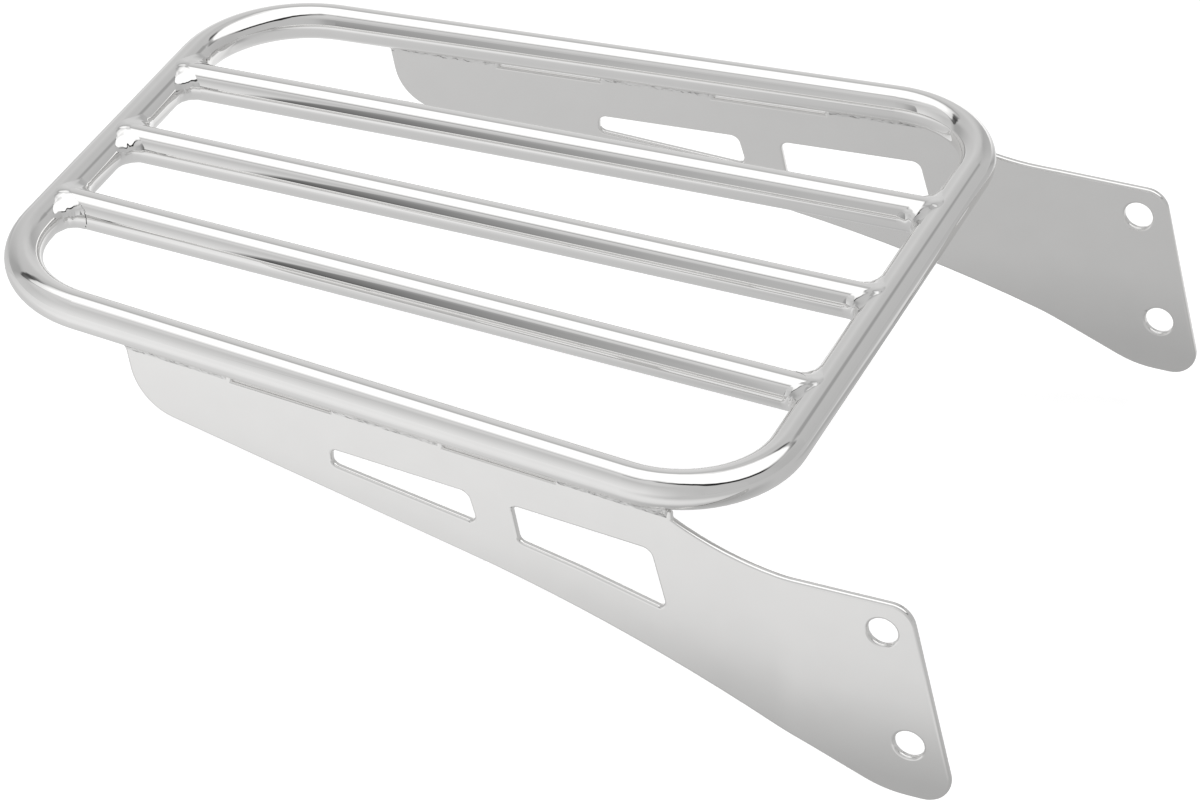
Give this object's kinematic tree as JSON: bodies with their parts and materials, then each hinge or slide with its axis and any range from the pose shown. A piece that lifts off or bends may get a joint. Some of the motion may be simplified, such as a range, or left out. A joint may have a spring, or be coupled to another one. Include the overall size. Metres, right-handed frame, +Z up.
{
  "type": "motorcycle luggage rack",
  "caption": "Chromed tubular rear luggage rack: a tapered rounded hoop with fanned rails over two slotted side plates that bolt to the fender struts.",
  "frame": {"origin": "centre of the load deck, level with the tops of the tubes", "axes": "+X forward to the bolted end, +Y to the motorcycle's left, +Z up"},
  "size_m": [0.3909, 0.2802, 0.1058],
  "materials": {
    "chrome": "polished",
    "chrome_weld": "polished"
  },
  "bodies": {
    "root": {"hoop_tube": "chrome", "rail_left": "chrome", "rail_centre": "chrome", "rail_right": "chrome", "side_plate_left": "chrome", "side_plate_right": "chrome", "rail_weld_left": "chrome_weld", "rail_weld_centre": "chrome_weld", "rail_weld_right": "chrome_weld", "plate_weld_left_rear_outer": "chrome_weld", "plate_weld_left_rear_inner": "chrome_weld", "plate_weld_left_middle_outer": "chrome_weld", "plate_weld_left_middle_inner": "chrome_weld", "plate_weld_left_front_outer": "chrome_weld", "plate_weld_left_front_inner": "chrome_weld", "plate_weld_right_rear_outer": "chrome_weld", "plate_weld_right_rear_inner": "chrome_weld", "plate_weld_right_middle_outer": "chrome_weld", "plate_weld_right_middle_inner": "chrome_weld", "plate_weld_right_front_outer": "chrome_weld", "plate_weld_right_front_inner": "chrome_weld"}
  },
  "joints": []
}
